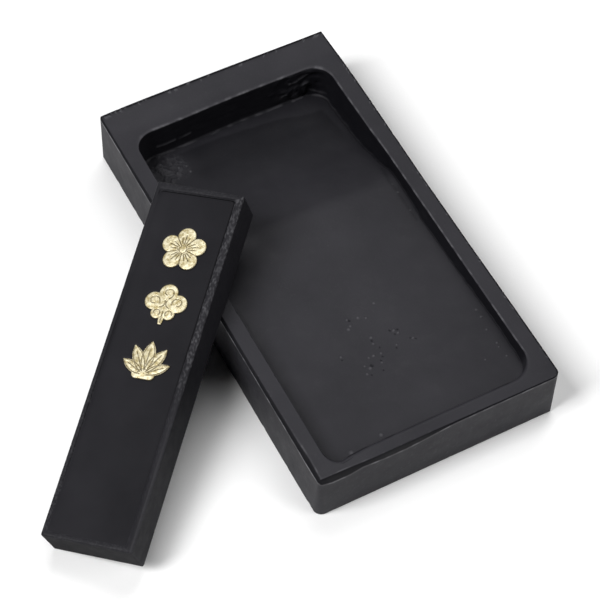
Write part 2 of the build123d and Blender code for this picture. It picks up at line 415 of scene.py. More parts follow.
def fill_points(ring, spacing, patches):
    """Points of a grid clear of a closed ring, finer in each patch, a disc with a spacing of its own."""
    tree = kdtree.KDTree(len(ring))
    for index, (x, y) in enumerate(ring.tolist()):
        tree.insert((x, y, 0), index)
    tree.balance()
    found = []
    for x, y, radius, fine in sorted(patches, key=lambda patch: -patch[3]):
        found = [spot for spot in found if math.hypot(spot[0] - x, spot[1] - y) > radius]
        grid = triangle_grid((x - radius, y - radius), (x + radius, y + radius), fine)
        within = np.hypot(grid[:, 0] - x, grid[:, 1] - y) <= radius
        found += [(*spot, fine) for spot in grid[within].tolist()]
    grid = triangle_grid(ring.min(0), ring.max(0), spacing)
    outside = np.ones(len(grid), bool)
    for x, y, radius, _ in patches:
        outside &= np.hypot(grid[:, 0] - x, grid[:, 1] - y) > radius
    found += [(*spot, spacing) for spot in grid[outside].tolist()]
    return np.array([(x, y) for x, y, step in found if tree.find((x, y, 0))[2] > CLEARANCE_SHARE * step])


def filled_stack(rings, inside, inwards):
    """Points, zones, directions and faces of closed rings, the last filled through inside points."""
    names, parts = zip(*rings, inside)
    zones = np.repeat(names, [len(part) for part in parts])
    directions = np.concatenate([np.tile(inwards, (len(rings), 1)), np.zeros((len(inside[1]), 2))])
    count = len(inwards)
    last = (len(rings) - 1) * count
    flat = [Vector(spot) for spot in np.concatenate(parts[-2:])[:, :2].tolist()]
    edges = [(index, (index + 1) % count) for index in range(count)]
    _, _, fill, origins, _, _ = delaunay_2d_cdt(flat, edges, [], 1, TINY)
    faces = ring_faces(len(rings), count)
    faces += [tuple(last + origins[corner][0] for corner in face) for face in fill]
    faces.append(tuple(range(count)))
    return np.concatenate(parts), zones, directions, faces


def line_distance(flat, line):
    """Distance from each point to a line of points."""
    best = np.full(len(flat), np.inf)
    for start, end in zip(line[:-1], line[1:]):
        way = end - start
        share = np.clip((flat - start) @ way / max(way @ way, TINY), 0, 1)
        best = np.minimum(best, np.linalg.norm(flat - start - np.outer(share, way), axis=1))
    return best


def add_object(name, data):
    """A new object in the scene."""
    made = bpy.data.objects.new(name, data)
    bpy.context.scene.collection.objects.link(made)
    return made


def add_mesh(name, points, faces, material, masks, place):
    """A closed mesh object from millimetre points, with its masks as attributes for its material."""
    mesh = bpy.data.meshes.new(name)
    mesh.from_pydata((points * MM).tolist(), [], faces)
    mesh.transform(place)
    for mask, values in masks.items():
        mesh.attributes.new(mask, "FLOAT", "POINT").data.foreach_set("value", values.astype(np.float32))
    shape = bmesh.new()
    shape.from_mesh(mesh)
    # Grid points that lie outside the ring they fill have no face
    bmesh.ops.delete(shape, geom=[spot for spot in shape.verts if not spot.link_faces], context="VERTS")
    bmesh.ops.recalc_face_normals(shape, faces=shape.faces)
    shape.to_mesh(mesh)
    shape.free()
    mesh.shade_smooth()
    mesh.materials.append(material)
    return add_object(name, mesh)


def set_inputs(tree, node, inputs):
    """Fills a node's inputs with values or links."""
    for key, value in inputs.items():
        if isinstance(value, bpy.types.NodeSocket):
            tree.links.new(value, node.inputs[key])
        else:
            node.inputs[key].default_value = value


def add_node(tree, kind, inputs=None, **settings):
    """Adds a shader node with its settings, and fills its inputs."""
    made = tree.nodes.new(kind)
    for key, value in settings.items():
        setattr(made, key, value)
    set_inputs(tree, made, inputs or {})
    return made


def new_material(name):
    """A material with its node tree, its surface shader and its object coordinates."""
    material = bpy.data.materials.new(name)
    material.use_nodes = True
    tree = material.node_tree
    place = add_node(tree, "ShaderNodeTexCoord").outputs["Object"]
    return material, tree, tree.nodes["Principled BSDF"], place


def cloud_noise(tree, place, size, detail, roughness):
    """Noise from 0 to 1 with blobs about size millimetres across."""
    inputs = {"Vector": place, "Scale": 1 / (size * MM), "Detail": detail, "Roughness": roughness}
    return add_node(tree, "ShaderNodeTexNoise", inputs).outputs["Fac"]


def span(tree, value, low, high, new_low, new_high):
    """Maps value from one range to another and holds it there."""
    inputs = {"Value": value, "From Min": low, "From Max": high, "To Min": new_low, "To Max": new_high}
    return add_node(tree, "ShaderNodeMapRange", inputs).outputs["Result"]


def blend_colors(tree, factor, first, second):
    """The first colour where factor is 0 and the second where it is 1."""
    return add_node(tree, "ShaderNodeMix", {0: factor, 6: first, 7: second}, data_type="RGBA").outputs[2]


def tinted(tree, color, layers):
    """A colour under layers of others, each with how far it covers what is below it: a value or a mask."""
    for cover, tint in layers:
        factor = mask_of(tree, cover) if isinstance(cover, str) else cover
        color = blend_colors(tree, factor, color, tint)
    return color


def mask_of(tree, name):
    """The value of a mesh's mask."""
    return add_node(tree, "ShaderNodeAttribute", attribute_name=name).outputs["Fac"]


def shifted(tree, value, mask, amount):
    """A value that is moved by amount where a mask is 1."""
    inputs = {0: mask_of(tree, mask), 1: amount, 2: value}
    return add_node(tree, "ShaderNodeMath", inputs, operation="MULTIPLY_ADD").outputs[0]


def bumps(tree, layers):
    """Bump layers over one another, each a height from 0 to 1 and its depth in millimetres."""
    under = {}
    for height, depth in layers:
        inputs = {"Height": height, "Distance": depth * MM, "Strength": 1.0, **under}
        under = {"Normal": add_node(tree, "ShaderNodeBump", inputs).outputs["Normal"]}
    return under["Normal"]


def slate_material():
    """Fine dark slate: mottled blue grey, honed on its faces, stained where ink has dried, and with
    painted shade and painted highlights from its masks.
    """
    material, tree, shader, place = new_material("slate")
    broad = cloud_noise(tree, place, 22.0, 3.0, 0.5)
    mottle = cloud_noise(tree, place, 5.0, 5.0, 0.6)
    fine = cloud_noise(tree, place, 0.55, 3.0, 0.6)
    drawn_out = add_node(tree, "ShaderNodeMapping", {"Vector": place, "Scale": SCRATCH_STRETCH})
    scratches = cloud_noise(tree, drawn_out.outputs["Vector"], 0.9, 3.0, 0.6)
    color = tinted(tree, SLATE_DARK, [(span(tree, broad, 0.35, 0.65, 0.0, 1.0), SLATE_LIGHT),
                                      (span(tree, mottle, 0.45, 0.7, 0.0, 0.4), SLATE_MOTTLE),
                                      (span(tree, fine, 0.6, 0.75, 0.0, 0.3), SLATE_FLECK),
                                      ("stain_and_shade", SLATE_STAIN_AND_SHADE), ("wear_and_highlight", SLATE_WEAR_AND_HIGHLIGHT), ("chip_and_highlight", SLATE_CHIP_AND_HIGHLIGHT)])
    roughness = shifted(tree, span(tree, mottle, 0.3, 0.7, 0.5, 0.62), "stain_and_shade", 0.12)
    normal = bumps(tree, [(mottle, 0.05), (scratches, 0.012), (fine, 0.02)])
    set_inputs(tree, shader, {"Base Color": color, "Roughness": roughness, "Normal": normal,
                              "IOR": 1.45, "Specular IOR Level": 0.2})
    return material


def ink_material():
    """Moulded ink: near black and satin, smoother on its handled border, with painted shade and painted
    highlights from its masks.
    """
    material, tree, shader, place = new_material("pressed_ink")
    broad = cloud_noise(tree, place, 14.0, 3.0, 0.5)
    mottle = cloud_noise(tree, place, 2.6, 5.0, 0.6)
    fine = cloud_noise(tree, place, 0.4, 3.0, 0.6)
    color = tinted(tree, INK_DARK, [(span(tree, broad, 0.35, 0.65, 0.0, 1.0), INK_LIGHT),
                                    (span(tree, fine, 0.62, 0.78, 0.0, 0.3), INK_FLECK),
                                    ("stain_and_shade", INK_SHADE), ("wear_and_highlight", INK_WEAR_AND_HIGHLIGHT)])
    roughness = shifted(tree, span(tree, mottle, 0.3, 0.7, 0.48, 0.6), "wear_and_highlight", -0.12)
    roughness = shifted(tree, roughness, "stain_and_shade", 0.3)
    normal = bumps(tree, [(mottle, 0.03), (fine, 0.015)])
    set_inputs(tree, shader, {"Base Color": color, "Roughness": roughness, "Normal": normal,
                              "IOR": 1.2, "Specular IOR Level": 0.4})
    return material


def gilt_material():
    """Pale gilding, worn thin and brown along its engraved lines and edges."""
    material, tree, shader, place = new_material("gilt")
    mottle = cloud_noise(tree, place, 1.0, 5.0, 0.65)
    fine = cloud_noise(tree, place, 0.25, 3.0, 0.6)
    color = tinted(tree, GILT_DEEP, [(span(tree, mottle, 0.38, 0.62, 0.0, 1.0), GILT_PALE),
                                     ("groove", GILT_GROOVE)])
    roughness = span(tree, mottle, 0.3, 0.7, 0.3, 0.48)
    normal = bumps(tree, [(mottle, 0.06), (fine, 0.015)])
    set_inputs(tree, shader, {"Base Color": color, "Roughness": roughness, "Normal": normal,
                              "Metallic": 0.35})
    return material


def floor_material():
    """Plain pale table top with a faint paper tooth."""
    material, tree, shader, place = new_material("table")
    color = blend_colors(tree, cloud_noise(tree, place, 300.0, 2.0, 0.5), TABLE_DARK, TABLE_LIGHT)
    normal = bumps(tree, [(cloud_noise(tree, place, 0.8, 2.0, 0.5), 0.02)])
    set_inputs(tree, shader, {"Base Color": color, "Roughness": 0.85, "Normal": normal})
    return material


def floor_height(y):
    """Height of the well's floor along the stone, with its bends eased."""
    far = STONE_LENGTH / 2 - RIM_FAR
    pool_end = far - POOL_LENGTH
    knee = pool_end - LOWER_SLOPE_LENGTH
    slope_top = knee - UPPER_SLOPE_LENGTH
    near = -STONE_LENGTH / 2 + RIM_NEAR
    pool_z = STONE_HEIGHT - POOL_DEPTH
    grinding_z = STONE_HEIGHT - GRINDING_FLOOR_DEPTH
    stations = [near, slope_top, knee, pool_end, far]
    heights = [grinding_z + GRINDING_FLOOR_RISE, grinding_z, pool_z + LOWER_SLOPE_RISE, pool_z, pool_z]
    shifts = np.linspace(-FLOOR_BEND_REACH, FLOOR_BEND_REACH, 9)
    return np.mean([np.interp(y + shift, stations, heights) for shift in shifts], axis=0)


def roof_height(x, y):
    """Height of the block's top where its honed bevels have been cut."""
    near_steepness = at_place(NEAR_BEVEL_DROP, x) / at_place(NEAR_BEVEL, x)
    drops = [(at_place(NEAR_BEVEL, x) - (y + STONE_LENGTH / 2)) * near_steepness,
             at_place(LEFT_BEVEL, y) - (x + STONE_WIDTH / 2),
             FAR_BEVEL - (STONE_LENGTH / 2 - at_place(FAR_TRIM, x) - y),
             RIGHT_BEVEL - (STONE_WIDTH / 2 - at_place(RIGHT_TRIM, y) - x)]
    return STONE_HEIGHT - np.maximum(np.max(drops, axis=0), 0)


def block_outline(inset, radii):
    """The block's outline, moved in by inset, where its far and right sides fall short of square."""
    points, inwards = outline(-STONE_WIDTH / 2 + inset, STONE_WIDTH / 2 - inset,
                              -STONE_LENGTH / 2 + inset, STONE_LENGTH / 2 - inset, radii, STONE_STEPS)
    _, right, far, _ = facing_shares(inwards)
    trim = far * at_place(FAR_TRIM, points[:, 0]) + right * at_place(RIGHT_TRIM, points[:, 1])
    return moved(points, inwards, trim)


def mouth_outline():
    """The outline of the well's mouth as it was cut by hand, and its inward directions."""
    points, inwards = outline(-STONE_WIDTH / 2 + RIM_LEFT, STONE_WIDTH / 2 - RIM_RIGHT,
                              -STONE_LENGTH / 2 + RIM_NEAR, STONE_LENGTH / 2 - RIM_FAR, WELL_RADII,
                              STONE_STEPS)
    near, right, far, left = facing_shares(inwards)
    x, y = points[:, 0], points[:, 1]
    shift = near * at_place(MOUTH_NEAR_SHIFT, x) + right * at_place(MOUTH_RIGHT_SHIFT, y)
    shift = shift + far * at_place(MOUTH_FAR_SHIFT, x) + left * at_place(MOUTH_LEFT_SHIFT, y)
    return moved(points, inwards, shift), inwards


def side_rings():
    """Rings up the block's sides, over its bevels and across its rim, each with its zone."""
    low = block_outline(BASE_INSET, FOOT_RADII)
    high = block_outline(EDGE_WEAR, TOP_RADII)
    edge_z = roof_height(*high.T)
    rings = [("base", joined(block_outline(BASE_INSET + BASE_BEVEL, FOOT_RADII), 0.0))]
    for share in SIDE_SHARES:
        height = BASE_BEVEL + (edge_z - BASE_BEVEL) * share
        lean = (height - BASE_BEVEL) / (STONE_HEIGHT - BASE_BEVEL)
        zone = "side" if share < SIDE_TOP_SHARE else "side_top"
        rings.append((zone, joined(moved(low, high - low, lean), height)))
    edge = rings[-1][1][:, :2]
    mouth, inwards = mouth_outline()
    rim_end = moved(mouth, inwards, -lip_radii(inwards))
    across = rim_end - edge
    crease = crease_shares(edge, across)
    for share in BEVEL_SHARES:
        flat = moved(edge, across, crease * share)
        rings.append(("bevel", joined(flat, roof_height(*flat.T))))
    for zone, step in RIM_LINES.items():
        start = crease + step / RIM_LEFT
        rings.append((zone, joined(moved(edge, across, start), STONE_HEIGHT)))
    # The plain rim starts where its last line ends
    for share in RIM_SHARES:
        rings.append(("rim", joined(moved(edge, across, start + (1 - start) * share), STONE_HEIGHT)))
    for inset in (LIP_LINE_WIDTH, 0.0):
        rings.append(("rim_lip", joined(moved(rim_end, inwards, -inset), STONE_HEIGHT)))
    return rings


def lip_radii(inwards):
    """How softly the mouth's edge is rounded: crisp, but worn soft at the near end."""
    near = facing_shares(inwards)[0]
    return LIP_RADIUS + (NEAR_LIP_RADIUS - LIP_RADIUS) * near


def well_rings():
    """Rings over the mouth's lip, down the walls and onto the floor, each with its zone."""
    mouth, inwards = mouth_outline()
    lip = lip_radii(inwards)
    y = mouth[:, 1]
    foot = SHALLOW_FOOT_RADIUS + (DEEP_FOOT_RADIUS - SHALLOW_FOOT_RADIUS) * ease(FOOT_DEEPENS, y)
    rings = []
    for angle in np.radians(LIP_ANGLES):
        flat = moved(mouth, inwards, -lip * (1 - math.sin(angle)))
        rings.append(("lip", joined(flat, STONE_HEIGHT - lip * (1 - math.cos(angle)))))
    foot_top = STONE_HEIGHT - floor_height(y) - foot
    for share in WALL_SHARES:
        depth = lip + (foot_top - lip) * share
        rings.append(("wall", joined(moved(mouth, inwards, depth * WALL_LEAN), STONE_HEIGHT - depth)))
    foot_start = foot_top * WALL_LEAN
    for angle in np.radians(ROUND_ANGLES):
        flat = moved(mouth, inwards, foot_start + foot * (1 - math.cos(angle)))
        rings.append(("foot", joined(flat, floor_height(flat[:, 1]) + foot * (1 - math.sin(angle)))))
    for step in FLOOR_STEPS:
        flat = moved(mouth, inwards, foot_start + foot + step)
        rings.append(("floor", joined(flat, floor_height(flat[:, 1]))))
    return rings, inwards


def crease_shares(edge, across):
    """How far along the way from the block's edge to the mouth each bevel ends."""
    low = np.zeros(len(edge))
    high = np.full(len(edge), WIDEST_BEVEL_SHARE)
    for _ in range(24):
        middle = (low + high) / 2
        on_bevel = roof_height(*moved(edge, across, middle).T) < STONE_HEIGHT - MM
        low = np.where(on_bevel, middle, low)
        high = np.where(on_bevel, high, middle)
    return np.maximum(high, NARROWEST_BEVEL_SHARE)


# Knobs and pits on the well's floor: x, y, radius and rise, with what every radius is multiplied by
LUMP_SPREAD = 1.35
FLOOR_LUMPS = [
    (0.3, -24.9, 0.35, 0.2), (-4.0, -23.6, 0.4, -0.15), (-4.5, -23.2, 0.3, 0.12), (-1.6, -23.9, 0.4, 0.1),
    (4.4, -21.7, 0.35, 0.06), (-5.5, -26.0, 0.45, 0.12), (-4.6, -25.3, 0.35, 0.1),
    (4.9, -31.6, 0.45, 0.3), (5.6, -32.7, 0.35, 0.22), (4.0, -31.1, 0.3, -0.2), (6.0, -31.7, 0.3, -0.15),
    (4.7, -32.7, 0.25, -0.15), (-1.5, -30.9, 0.42, 0.15), (-1.7, -31.8, 0.35, -0.15),
    (-1.9, -32.8, 0.35, 0.12), (-0.9, -34.5, 0.25, -0.12), (3.4, -35.8, 0.3, 0.15),
    (3.0, -36.6, 0.25, -0.15), (8.3, -35.9, 0.35, 0.18), (7.6, -35.5, 0.22, -0.12),
    (8.9, -36.4, 0.22, -0.12), (-11.4, -32.7, 0.35, 0.15), (-11.5, -33.6, 0.25, -0.12),
    (-5.0, -36.1, 0.3, 0.15), (-3.6, -36.1, 0.42, 0.2), (-1.5, -36.3, 0.35, 0.14),
    (-1.6, -37.3, 0.25, -0.12), (-2.7, -38.9, 0.3, 0.12), (-2.5, -38.2, 0.25, -0.12),
    (-6.2, -39.1, 0.5, 0.22), (-5.4, -38.5, 0.5, -0.2), (-7.2, -37.9, 0.3, 0.15),
    (-7.8, -40.3, 0.35, 0.12), (-6.8, -41.0, 0.25, -0.12), (-3.4, -41.1, 0.25, -0.15),
    (27.5, -35.7, 0.3, 0.15), (27.5, -38.2, 0.3, 0.15), (26.8, -42.3, 0.3, 0.15), (27.1, -47.1, 0.3, 0.2),
    (26.9, -48.4, 0.25, 0.15), (27.3, -51.7, 0.3, 0.15), (21.7, -50.2, 0.25, 0.1),
    (-22.6, -59.0, 0.6, 0.12), (-13.4, -57.8, 0.5, 0.12), (-23.3, 52.0, 0.45, 0.12),
    (-24.1, 49.0, 0.4, 0.12), (-25.2, 47.1, 0.5, 0.2), (-24.2, 45.8, 0.35, 0.2), (-24.5, 44.0, 0.4, 0.22),
    (-21.1, 44.2, 0.5, 0.25), (-20.0, 45.7, 0.45, 0.22), (-17.7, 45.5, 0.35, 0.16),
    (-18.5, 47.4, 0.45, 0.14), (-17.6, 43.2, 0.35, 0.12), (-26.4, 40.9, 0.4, 0.12),
    (-21.7, 42.5, 0.4, 0.2), (28.0, 7.5, 0.25, 0.1), (28.2, 0.6, 0.25, 0.12), (27.9, 10.6, 0.2, 0.1),
]


def lump_shares(flat):
    """Each point's share of the knobs and of the pits near it, and the height that they give it."""
    knobs = np.zeros(len(flat))
    pits = np.zeros(len(flat))
    height = np.zeros(len(flat))
    for x, y, radius, rise in FLOOR_LUMPS:
        reach = np.hypot(flat[:, 0] - x, flat[:, 1] - y) / (radius * LUMP_SPREAD)
        share = np.maximum(1 - reach ** 2, 0) ** 1.5
        height += rise * share
        kind = knobs if rise > 0 else pits
        np.maximum(kind, share, out=kind)
    return knobs, pits, height


def crust_share(flat):
    """1 in the middle of the caked ink at the pool's left, falling to 0 outside it."""
    return ease(CRUST_EDGE, np.hypot(*(flat - CRUST_CENTRE).T))


def crust_flakes(points):
    """Crisp-edged flakes in the caked ink, from 0 to 1."""
    plane = in_plan(points)
    large = ease((0.05, 0.2), grain(plane, 1.9, 11))
    small = ease((0.1, 0.3), grain(plane, 0.8, 12))
    return (0.7 * large + 0.5 * small) * crust_share(points[:, :2])


def floor_relief(points, zones):
    """Low unevenness of the ground floor, with its caked ink, knobs and pits."""
    relief = np.zeros(len(points))
    floor = np.isin(zones, ["floor", "foot"])
    spots = points[floor]
    relief[floor] = layered(in_plan(spots), FLOOR_ROUGHNESS) + CRUST_HEIGHT * crust_flakes(spots)
    relief[floor] += lump_shares(spots[:, :2])[2]
    return relief


def ridge_share(points, inwards):
    """1 along the chisel ridges on the far wall, falling to 0 beside them."""
    far = facing_shares(inwards)[2]
    flat = np.column_stack([points[:, 0], STONE_HEIGHT - points[:, 2]])
    distance = np.full(len(points), np.inf)
    wall = far > 0.1
    for ridge in FAR_WALL_RIDGES:
        distance[wall] = np.minimum(distance[wall], line_distance(flat[wall], np.array(ridge)))
    return np.exp(-(distance / RIDGE_HALF_WIDTH) ** 2) * far


def rough_share(points, inwards):
    """1 on the roughly chiselled right end of the far wall, and 0 elsewhere."""
    return ease(ROUGH_END, points[:, 0]) * facing_shares(inwards)[2]


def wall_push(points, inwards):
    """How far the chiselled walls stand out into the well at each point."""
    y = points[:, 1]
    right = facing_shares(inwards)[1]
    depth = STONE_HEIGHT - points[:, 2]
    near_foot = ease(NEAR_FOOT_SHARES, depth / (STONE_HEIGHT - floor_height(y)))
    terraces = ease((-0.08, 0.08), grain(points, (3.4, 3.4, 2.0), 5))
    wander = 0.3 * grain(points, (2.4, 2.4, 9.0), 4) + at_place(RIGHT_FOOT_SHIFT, y)
    push = layered(points, WALL_ROUGHNESS) + right * near_foot * wander
    push = push + rough_share(points, inwards) * (TERRACE_HEIGHT * terraces - TERRACE_INSET)
    push = push + RIDGE_HEIGHT * ridge_share(points, inwards)
    return push * ease(WALL_TOP, depth)


def shape_stone(points, zones, inwards, reach):
    """Roughens the stone by zone: chiselled walls, chipped edges and an uneven floor."""
    shaped = points.copy()
    height = points[:, 2]
    side = np.isin(zones, ["side", "side_top", "base"])
    bevel = zones == "bevel"
    lip = zones == "lip"
    well = reach > 0
    wavy = np.abs(grain(points, 22.0, 1))
    pitted = np.abs(grain(points, 1.3, 2))
    push = np.zeros(len(points))
    push[well] = wall_push(points[well], inwards[well]) * reach[well]
    push[lip] = -0.3 * np.clip(grain(points[lip], 1.5, 6) - 0.3, 0, 1)
    corner_chips = np.clip(grain(points, 2.0, 7) - 0.35, 0, 1) * 0.4
    near_edge = ease(FOOT_EDGE, height) + ease(TOP_EDGE, STONE_HEIGHT - height)
    push += np.where(side | bevel, 0.03 * wavy + 0.02 * pitted + corner_chips * near_edge, 0)
    shaped[:, :2] = moved(shaped[:, :2], inwards, push)
    top = np.isin(zones, ["lip", "rim_lip", "rim", "rim_edge", "rim_line", "bevel", "side_top"])
    shaped[:, 2] -= np.where(top, 0.04 * wavy, 0)
    shaped[:, 2] -= np.where(bevel | (zones == "rim_line"), 0.03 * pitted + 0.15 * corner_chips, 0)
    shaped[:, 2] += floor_relief(points, zones)
    return shaped


def floor_stain_and_shade(points):
    """Dried ink and painted shade on the floor: darkest in the pool, with painted shade toward the side
    walls and in the pits, paler along the walls' foot and on the crust.
    """
    x, y = points[:, 0], points[:, 1]
    plane = in_plan(points)
    wobble = grain(plane, 4.0, 13)
    far_foot = STONE_LENGTH / 2 - RIM_FAR - POOL_DEPTH * WALL_LEAN - y
    right_foot = STONE_WIDTH / 2 - RIM_RIGHT - POOL_DEPTH * WALL_LEAN - x
    far_strip = ease((0.5, -0.4), far_foot - at_place(FAR_STRIP_WIDTH, x) - 0.5 * wobble)
    right_strip = ease((0.4, -0.3), right_foot - at_place(RIGHT_STRIP_WIDTH, y) - 0.3 * wobble)
    strip = np.maximum(far_strip, right_strip) * ease(STRIP_START, y)
    along = at_place(STAIN_ALONG, y) * (1 - 0.5 * ease(CLEAN_LEFT, x))
    along = along * (1 - 0.42 * strip) * (1 - 0.35 * crust_share(points[:, :2]))
    # Painted shade toward the side walls
    stain_and_shade = 1 - (1 - along) * (1 - at_place(WALL_SHADE_ACROSS, x))
    residue = np.exp(-(line_distance(points[:, :2], np.array(RESIDUE_LINE)) / RESIDUE_HALF_WIDTH) ** 2)
    stain_and_shade = stain_and_shade + layered(plane, STAIN_PATCHES) + 0.35 * residue
    # Painted shade in the pits
    return np.maximum(np.clip(stain_and_shade, 0, 1), 0.85 * lump_shares(points[:, :2])[1])


def wall_masks(points, inwards):
    """Painted shade and dried ink darkening the walls, with painted highlights along their ridges and the
    far wall's foot.
    """
    y = points[:, 1]
    _, right, far, _ = facing_shares(inwards)
    patchy = grain(points, 2.4, 16)
    broken = ease((-0.25, 0.2), patchy)
    # Painted shade on the walls, less where the right wall grows shallow toward the near end and on the
    # near wall
    stain_and_shade = 0.97 - 0.12 * right * ease(RIGHT_WALL_LESS_SHADE, y) - 0.6 * ease(NEAR_WALL_LESS_SHADE, y)
    clean = 0.5 * rough_share(points, inwards) * ease((-0.1, 0.25), patchy)
    stain_and_shade = stain_and_shade - clean - 0.06 * far * (1 + patchy)
    # Painted highlights along the far wall's foot and on its ridges
    foot_highlight = ease(FOOT_LINE, points[:, 2] - floor_height(y)) * far * (0.15 + 0.85 * broken)
    ridges = ridge_share(points, inwards) * broken
    return np.clip(stain_and_shade - 0.5 * ridges - 0.35 * foot_highlight, 0, 1), 0.4 * ridges + 0.26 * foot_highlight


def stone_masks(points, zones, inwards):
    """Where dried ink and painted shade darken the stone, and where handling has worn it pale or chipped
    it, with painted highlights and painted light.
    """
    x, y, height = points.T
    near, right, far, left = facing_shares(inwards)
    broken = 0.6 + 0.4 * ease((-0.1, 0.3), grain(points, 0.9, 18))
    broken = broken * ease((-0.15, 0.25), grain(points, 3.0, 17))
    specks = ease((0.3, 0.5), grain(points, 0.8, 19))
    mottle = grain(points, 7.0, 22)
    # Painted light toward the rim's near-left corner
    near_left_lit = ease(NEAR_LIT, y) * ease(LEFT_LIT, x)
    stain_and_shade, wear_and_highlight, chip_and_highlight = np.zeros((3, len(points)))

    floor = zones == "floor"
    spots = points[floor]
    crust = crust_share(spots[:, :2])
    stain_and_shade[floor] = floor_stain_and_shade(spots)
    # Painted highlights on the knobs' tops, and painted light on the floor by the left wall's foot, over
    # the real polish of the grinding floor
    wear_and_highlight[floor] = (0.62 - 0.4 * crust) * lump_shares(spots[:, :2])[0] + 0.2 * crust_flakes(spots)
    polish_and_light = FLOOR_POLISH + 0.1 * ease(LIT_LEFT_FOOT, spots[:, 0])
    wear_and_highlight[floor] += polish_and_light * ease(POLISHED_FLOOR, spots[:, 1])
    wall = np.isin(zones, ["wall", "foot"])
    stain_and_shade[wall], wear_and_highlight[wall] = wall_masks(points[wall], inwards[wall])

    lip = np.isin(zones, ["lip", "rim_lip"])
    # A broken painted highlight along the lip, on all but its near and left sides
    lip_highlight = (0.16 + 0.75 * broken) * (1 - near) * (1 - left) * ease(LIP_HIGHLIGHT_START, y)
    wear_and_highlight[lip] = (0.06 + lip_highlight)[lip]
    # Painted shade on the left lip, and painted shadow lines along the near lip
    lines = sum(ease((half + 0.6, half - 0.6), np.abs(x - centre)) for centre, half in NEAR_LIP_SHADOW_LINES)
    lip_shade = 0.6 * left + 0.8 * near * lines * ease(LOW_LIP, STONE_HEIGHT - height)
    stain_and_shade[zones == "lip"] = lip_shade[zones == "lip"]
    # Painted dark reflection on the bevels and along the far and right edges, broken by light specks
    stain_and_shade[zones == "bevel"] = 1.0
    dark_line_shade = 0.95 * np.maximum(right, far) * (1 - 0.6 * specks)
    stain_and_shade[zones == "rim_line"] = dark_line_shade[zones == "rim_line"]
    edge = np.isin(zones, ["rim_edge", "rim_line"])
    # Light chips along the rim's edge, and a painted highlight there near the near-left corner
    edge_chips_and_highlight = 0.6 * specks * np.maximum(right, far) + 0.15 * specks + near_left_lit * (0.25 + 0.5 * broken)
    wear_and_highlight[edge] = edge_chips_and_highlight[edge]
    rim = zones == "rim"
    # Painted light on the rim toward its near-left corner, and painted shade on the near rim toward its
    # right
    wear_and_highlight[rim] = (0.09 * near_left_lit + 0.045 * ease(FAR_RIM, y) + 0.02 * (1 + mottle))[rim]
    stain_and_shade[rim] = np.maximum(0.05 * ease(NEAR_RIM, y) * ease(NEAR_RIM_RIGHT, x) - 0.06 * mottle, 0)[rim]

    side_top = zones == "side_top"
    # A broken painted highlight along the top of the left and near sides
    chip_and_highlight[side_top] = ((0.25 + 0.6 * broken) * (left + 0.7 * near))[side_top]
    side = side_top | (zones == "side")
    # Painted shade on the left side and on the near side's top, random tone, and a painted contact shadow
    # along the foot
    side_tone_and_shade = 0.17 * left + 0.17 * near * ease(UPPER_SIDE, height) + 0.14 * mottle
    stain_and_shade[side] = (side_tone_and_shade + 0.7 * ease(SIDE_FOOT_SHADOW, height))[side]
    chip_and_highlight[side] += (specks * (0.3 * ease(LOW_EDGE, height) + 0.05) + 0.06 * np.maximum(mottle, 0))[side]
    return {"stain_and_shade": np.clip(stain_and_shade, 0, 1), "wear_and_highlight": np.clip(wear_and_highlight, 0, 1), "chip_and_highlight": np.clip(chip_and_highlight, 0, 1)}


def make_stone(material):
    """The stone as one closed mesh: rings for its sides, rim and walls, filled across the well's floor."""
    well, inwards = well_rings()
    rings = side_rings() + well
    patches = [(x, y, radius + KNOB_MARGIN, KNOB_GRID) for x, y, radius, _ in FLOOR_LUMPS]
    patches.append((*CRUST_CENTRE, CRUST_RADIUS, CRUST_GRID))
    patches += [(x, y, RESIDUE_MARGIN, RESIDUE_GRID) for x, y in RESIDUE_LINE]
    inner = fill_points(rings[-1][1][:, :2], FLOOR_GRID, patches)
    inside = ("floor", joined(inner, floor_height(inner[:, 1])))
    points, zones, directions, faces = filled_stack(rings, inside, inwards)
    reach = np.isin(zones, ["wall", "foot"]).astype(float)
    floor_start = (len(rings) - len(FLOOR_STEPS)) * len(inwards)
    fading = np.repeat(np.linspace(FLOOR_PUSH, 0.0, len(FLOOR_STEPS)), len(inwards))
    reach[floor_start:floor_start + len(fading)] = fading
    masks = stone_masks(points, zones, directions)
    shaped = shape_stone(points, zones, directions, reach)
    return add_mesh("carved_stone", shaped, faces, material, masks, Matrix())


def stick_place():
    """Where the stick's own frame stands: its back on the rim's edge, its low corner on the table."""
    radius = STICK_EDGE_RADIUS
    low_corner = ((STICK_FOOT_TO_RIM - radius) * math.cos(STICK_TURN)
                  + (STICK_WIDTH / 2 - radius) * math.sin(STICK_TURN))
    lean = math.asin((STONE_HEIGHT - radius) / math.hypot(low_corner, radius))
    lean += math.atan2(radius, low_corner)
    up_slope = Vector((math.cos(lean), 0, math.sin(lean)))
    off_slope = Vector((-math.sin(lean), 0, math.cos(lean)))
    along_rim = off_slope.cross(up_slope)
    rim_edge = Vector((-STONE_WIDTH / 2 + RIM_EDGE_INSET, STICK_CROSSING_Y, STONE_HEIGHT))
    origin = rim_edge + off_slope * REST_GAP
    tilt = Matrix((up_slope, along_rim, off_slope)).transposed().to_4x4()
    turn = Matrix.Rotation(STICK_TURN - math.pi / 2, 4, "Z")
    back = Matrix.Translation(Vector((0, -STICK_FOOT_TO_RIM, 0)) * MM)
    return Matrix.Translation(origin * MM) @ tilt @ turn @ back


